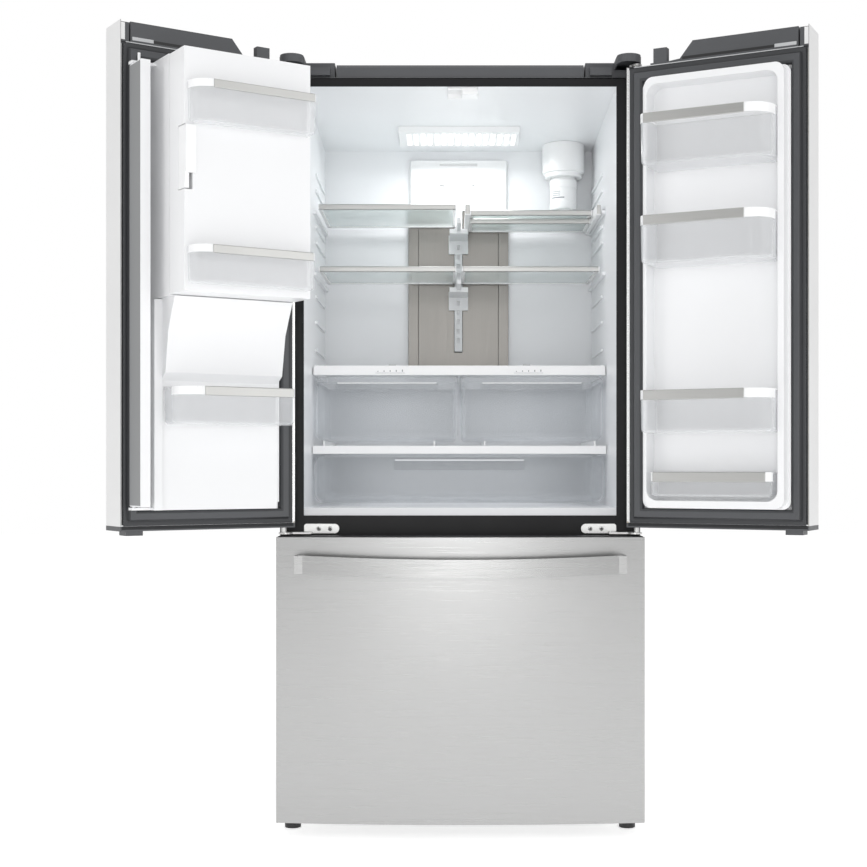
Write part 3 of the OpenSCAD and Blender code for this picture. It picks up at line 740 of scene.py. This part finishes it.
def gasket_look(tag, body, T, outer, inner, node):
    p = Part(tag, body, "gasket", T, 0)
    frame4(p, outer, inner, [(d / 29.4, y) for d, y in GP])
    p.done(replaces=(node,), sharp=60)
    # a lighter rubber band laid on the gasket's front face: painted sheen, not a second colour of rubber
    q = Part(tag + "_painted_sheen_band", body, "gasket_painted_sheen", T, 0)
    frame4(q, outer, inner, [(0.42, -2.6), (0.45, -1.52), (0.80, -1.52), (0.85, -2.6)])
    q.done(sharp=60)


for gs, gT in (("right", RIGHT), ("left", LEFT)):
    gasket_look(gs + "_gasket_look", gs + "_door", gT, (8, 408, 714, 1741), (37.5, 372.5, 747.5, 1706.5), gs + "_door_gasket")
soft("freezer_gasket", "gasket", 0.8)

# ------------------------------------------------------------------ door shells
for side, T, body in (("left", LEFT, "left_door"), ("right", RIGHT, "right_door")):
    o = soft(side + "_door_skin", "steel", 0.5)
    o.data.materials.append(MATS["side_light"])
    ax = (T.to_3x3() @ Vector((1, 0, 0))).normalized()
    for q in o.data.polygons:
        if abs(q.normal.dot(ax)) > 0.8:
            q.material_index = 1
    soft(side + "_door_caps", "cover_dark", 2.0)
    soft(side + "_door_liner", "liner_door", 3.0, 3)
    soft(side + "_door_handle", "handle_steel", 1.6, 3)
    # rear edge of the shell: dark strip at the free edge, steel return at the hinge edge
    p = Part(side + "_door_return", body, "steel_edge", T, 0.6)
    p.box(409.5, 415.4, -17.2, -15.6, 716, 1744)
    p.done()
    p = Part(side + "_door_inner_frame", body, "cover_darker", T, 0.5)
    p.box(4.4, 8.0, -17.2, -15.5, 716, 1739)
    p.box(4.4, 412, -17.4, -15.9, 706, 714)
    p.box(4.4, 412, -17.4, -15.9, 1741, 1744)
    p.done()
    # raised cap: a black strip along its foot as painted shadow in the gap, a clip there, pale flange at the free edge,
    # and a thin pale line over the gasket that is a painted highlight on the inner frame's top edge
    # black strip: painted shadow in the gap under the cap
    p = Part(side + "_cap_foot_painted_shadow", body, "black_plastic", T, 0)
    p.box(78, 286, -20.3, -19.3, 1749, 1755.5)
    p.done()
    p = Part(side + "_cap_clip", body, "light_grey", T, 0.5)
    p.box(30, 78, -20.5, -18.7, 1749.2, 1757)
    p.done()
    p = Part(side + "_cap_flange", body, "side_light", T, 0.4)
    p.box(3.6, 12.5, -18.3, -16.6, 1748, 1784.5)
    p.done()
    # pale strip: painted highlight on the inner frame's top edge
    p = Part(side + "_frame_top_painted_highlight", body, "light_grey", T, 0.3)
    p.box(14, 398, -17.9, -15.4, 1742.2, 1744.4)
    p.done()

# door bins
def bin_look(tag, body, T, x0, x1, y0, y1, z0, z1, rf, nodes=(), bar=22):
    p = Part(tag + "_tray", body, "clear_bin", T, 0)
    tray(p, x0, x1, y0, y1, z0, z1, 2.5, 0.8, rf, 9, 1.6)
    p.done(replaces=nodes)
    # metal trim along the front
    b = Part(tag + "_bar", body, "bar_alu", T, 0.7)
    b.prism([(y1 - 0.2, z1 - bar), (y1 + 2, z1 - bar + 1), (y1 + 2, z1 - 1.2), (y1 + 0.8, z1), (y1 - 2.6, z1), (y1 - 2.6, z1 - 3),
             (y1 - 0.2, z1 - 3)], "x", x0 + rf[0] * 0.93, x1 - rf[1] * 0.6)
    b.done()
    # the trim runs on round the corners as a pale moulded band
    w = Part(tag + "_band", body, "white_trim", T, 0)
    for cx, r, a0, a1 in ((x0 + rf[0], rf[0], 92, 178), (x1 - rf[1], rf[1], 2, 62)):
        ls = []
        for k in range(13):
            t = math.radians(a0 + (a1 - a0) * k / 12)
            c, d = math.cos(t), math.sin(t)
            yo = max(y1 - r + d * r, y0 + 2)
            ls.append([(cx + c * (r - 2.7), min(yo, y1 - r + d * (r - 2.7)), z1), (cx + c * (r + 0.2), yo, z1),
                       (cx + c * (r + 0.2), yo, z1 - bar + 2), (cx + c * (r - 0.6), yo, z1 - bar + 2),
                       (cx + c * (r - 0.6), yo, z1 - 3), (cx + c * (r - 2.7), min(yo, y1 - r + d * (r - 2.7)), z1 - 3)])
        w.loft(ls)
    w.done()
    # a thin pale rim along the sides and back
    w = Part(tag + "_rim", body, "white_soft", T, 0.4)
    w.box(x0, x0 + 2.8, y0, max(y1 - rf[0], y0 + 3), z1 - 2.6, z1)
    w.box(x1 - 2.8, x1, y0, y1 - rf[1], z1 - 2.6, z1)
    w.box(x0 + 2.8, x1 - 2.8, y0, y0 + 2.8, z1 - 2.6, z1)
    w.done()


for k, (za, zb) in enumerate(((1498, 1609), (1283, 1387), (914, 1007))):
    bin_look(f"right_bin_{k + 1}", "right_door", RIGHT, 59, 346, -15, 103, za, zb, (56, 20),
             ("right_door_bins",) if k == 0 else ())
bin_look("right_bin_4", "right_door", RIGHT, 68, 341, -15, 45, 775, 829, (14, 14))

# ------------------------------------------------------------------ left door inside
soft("flipper_mullion", "liner_door", 1.8)
p = Part("flipper_strip", "flipper_mullion", "flip_grey", LEFT, 0)
p.box(15.1, 15.7, 3, 63, 759, 1687)
p.done()
soft("ice_housing", "liner_door", 2.5, 3)
soft("ice_maker_bin", "white_soft", 0.8)
soft("ice_door", "liner_door", 5.0, 4)
soft("ice_door_latch", "white_trim", 2.2, 3)
soft("dispenser", "gloss_black", 1.5)
soft("dispenser_paddle", "grey_plastic", 1.5)
for k, (z0, z1, rf) in enumerate(((1543, 1629, (42, 14)), (1214, 1293, (40, 20)))):
    bin_look(f"ice_door_bin_{k + 1}", "ice_door", LEFT, 75, 353, 170, 214, z0, z1, rf,
             ("ice_door_bins",) if k == 0 else (), 18)
bin_look("left_bin", "left_door", LEFT, 84, 352, 22, 120, 930, 1010, (56, 16), ("left_door_bin",), 20)

# dispenser: control strip with plain marks, steel trim round the dispenser
p = Part("dispenser_marks", "left_door", "mark_white", LEFT, 0)
for k in range(5):
    x = 142 + k * 34
    p.lathe([(2.2, -104.4), (2.2, -103.6)], (x, 0, 1300), "y", 16)
    p.box(x - 7, x + 7, -104.4, -103.6, 1284, 1285.4)
p.done()
p = Part("dispenser_trim", "left_door", "steel_edge", LEFT, 0.5)
p.ring((118.5, 301.5, 948.5, 1341.5), [(0, -99.5), (0, -101.9), (3, -101.9), (3, -99.5)])
p.done()

# ------------------------------------------------------------------ freezer drawer
soft("freezer_front", "steel", 0.8)
soft("freezer_front_liner", "liner_door", 3.0)
soft("freezer_handle", "handle_steel", 1.4, 3)
soft("freezer_basket", "liner", 1.5)
soft("freezer_tray", "liner", 1.2)
p = Part("freezer_front_top_cap", "freezer_drawer", "cover_darker", CAB, 0)
R = (416 * 416 + 22 * 22) / 44


def arc_y(x):
    return -102 + R - math.sqrt(R * R - x * x)


xs = [-412 + k * 824 / 40 for k in range(41)]
p.loft([[(x, arc_y(x) + 2.5, 681.7) for x in xs] + [(x, -19, 681.7) for x in reversed(xs)],
        [(x, arc_y(x) + 3.5, 683.6) for x in xs] + [(x, -20, 683.6) for x in reversed(xs)]])
p.done()

# ------------------------------------------------------------------ screws and small fittings
for s in (-1, 1):
    for k, x in enumerate((300, 326)):
        screw(f"mid_hinge_screw_{'lr'[s > 0]}{k}", CB, (s * x, -4, 698), "y", 5, 2.4, CAB, "zinc", -1)
    for k, y in enumerate((40, 60, 80)):
        screw(f"top_hinge_screw_{'lr'[s > 0]}{k}", CB, (s * 356, y, 1744), "z", 5, 3, CAB, "zinc")
    screw(f"hinge_cover_screw_{'lr'[s > 0]}", CB, (s * 330, 70, 1775), "z", 5, 2.6, CAB, "black_paint")
    screw(f"top_cover_screw_{'lr'[s > 0]}", CB, (s * 240, 50, 1767), "z", 5, 2.6, CAB, "black_paint")
for k, (x, z) in enumerate(((-385, 80), (385, 80), (-385, 312), (385, 312))):
    screw(f"machine_cover_screw_{k}", CB, (x, 749.0, z), "y", 4.5, 0.9, CAB, "zinc", 1)

# ------------------------------------------------------------------ light, camera, stage
scene = bpy.context.scene
bpy.ops.mesh.primitive_grid_add(x_subdivisions=12, y_subdivisions=12, size=30, location=(0, 0, -0.0005))
floor = bpy.context.object
floor.name = "floor"
m, nt, b = _new("floor_mat")
b.inputs["Base Color"].default_value = (0.93, 0.93, 0.93, 1)
b.inputs["Roughness"].default_value = 0.7
b.inputs["Emission Color"].default_value = (1, 1, 1, 1)
b.inputs["Emission Strength"].default_value = 0.60
floor.data.materials.append(m)

w = bpy.data.worlds.new("studio")
scene.world = w
w.use_nodes = True
nt = w.node_tree
bg = nt.nodes["Background"]
bg.inputs["Color"].default_value = (1, 1, 1, 1)
bg.inputs["Strength"].default_value = 0.52
bg2 = nt.nodes.new("ShaderNodeBackground")
bg2.inputs["Color"].default_value = (1, 1, 1, 1)
bg2.inputs["Strength"].default_value = 1.0
lp = nt.nodes.new("ShaderNodeLightPath")
mx = nt.nodes.new("ShaderNodeMixShader")
nt.links.new(lp.outputs["Is Camera Ray"], mx.inputs["Fac"])
nt.links.new(bg.outputs["Background"], mx.inputs[1])
nt.links.new(bg2.outputs["Background"], mx.inputs[2])
nt.links.new(mx.outputs["Shader"], nt.nodes["World Output"].inputs["Surface"])


def area(name, loc, target, size, power, size_y=None):
    d = bpy.data.lights.new(name, "AREA")
    d.energy = power
    d.shape = "RECTANGLE"
    d.size = size
    d.size_y = size_y or size
    o = bpy.data.objects.new(name, d)
    scene.collection.objects.link(o)
    o.location = loc
    o.rotation_euler = (Vector(target) - Vector(loc)).to_track_quat("-Z", "Y").to_euler()
    return o


area("key", (0, -5.2, 1.3), (0, 0, 0.8), 1.0, 27, 2.4)
area("left_fill", (-3.6, -2.6, 1.8), (0, 0, 1.0), 1.6, 18, 2.6)
area("right_fill", (3.6, -2.6, 1.8), (0, 0, 1.0), 1.6, 22, 2.6)
area("top", (0, -0.6, 4.4), (0, 0, 0.8), 3.2, 30)
area("inner_lamp", (0, 0.42, 1.675), (0, 0.30, 0.9), 0.26, 1.15, 0.10)

# light that the clear drawers would pass on from above
for nm, z, pw in (("crisper_light_l", 1.040, 0.28), ("crisper_light_r", 1.040, 0.28), ("pantry_light", 0.862, 0.42)):
    x = {"crisper_light_l": -0.178, "crisper_light_r": 0.178}.get(nm, 0.0)
    lo_ = area(nm, (x, 0.40, z), (x, 0.399, 0.0), 0.30 if x else 0.62, pw, 0.28)
    lo_.visible_camera = False

cd = bpy.data.cameras.new("cam")
cd.sensor_width = 36
cd.lens = 1496 * 36 / 867
cd.shift_x = -14.5 / 867
cd.shift_y = 33.5 / 867
cd.clip_end = 60
cam = bpy.data.objects.new("cam", cd)
cam.location = (-0.028, -3.455, 0.840)
cam.rotation_euler = (math.pi / 2, 0, 0)
scene.collection.objects.link(cam)
scene.camera = cam
scene.view_settings.view_transform = "Standard"

drop_bad_rounding()
